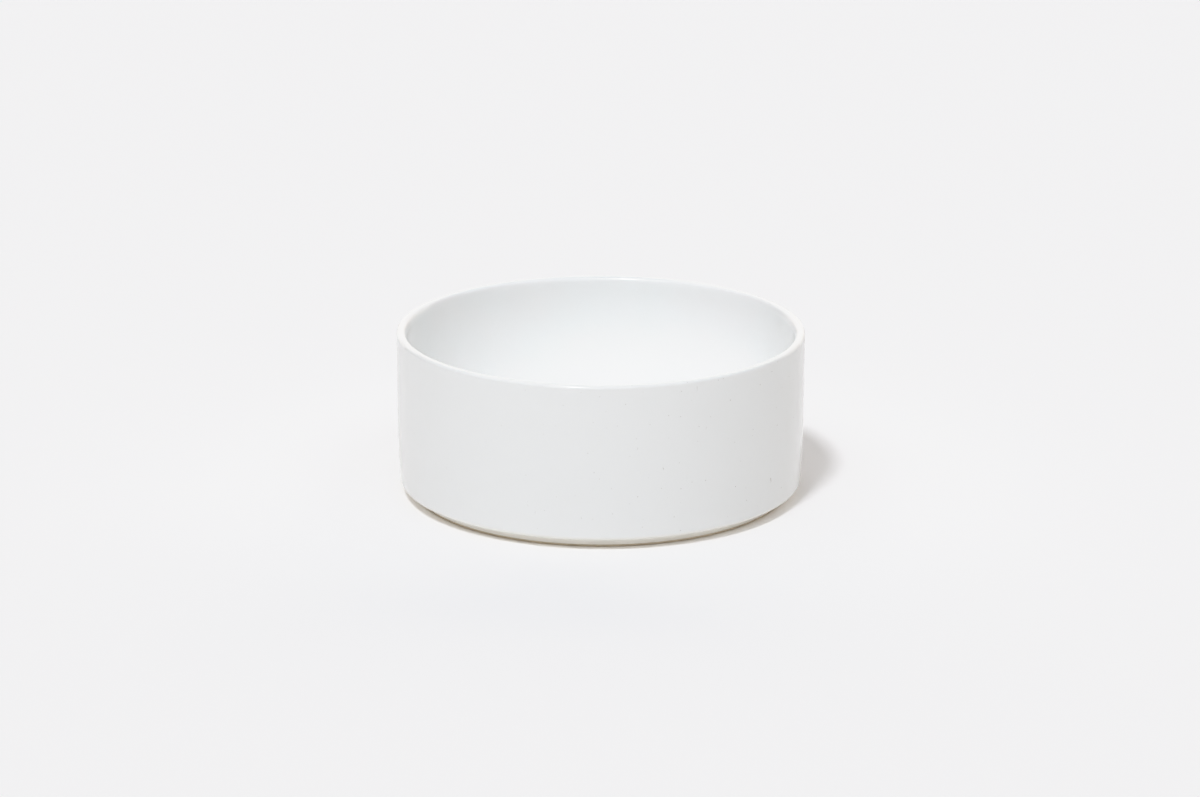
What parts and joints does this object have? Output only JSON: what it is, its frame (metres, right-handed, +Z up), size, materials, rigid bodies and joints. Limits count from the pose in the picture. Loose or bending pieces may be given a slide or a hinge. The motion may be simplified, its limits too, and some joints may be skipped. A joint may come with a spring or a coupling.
{
  "type": "latte bowl",
  "caption": "Low, straight-walled round bowl for milk coffee, with a thick rounded rim and a set-back foot ring, white-glazed inside and out.",
  "frame": {"origin": "middle of the ring that the bowl stands on, at table height", "axes": "+Z up along the bowl's turning axis; the bowl is round, so +X and +Y are any two level directions at right angles, and the picture looks along +Y"},
  "size_m": [0.13, 0.13, 0.0532],
  "materials": {
    "bare_porcelain": "fired bare clay, fine matt, where the foot ring is wiped clean of glaze",
    "white_glaze": "clear satin gloss over white clay, dipped and fired"
  },
  "bodies": {
    "root": {"porcelain_body": "bare_porcelain", "glaze_coat": "white_glaze", "base_glaze": "white_glaze"}
  },
  "joints": []
}
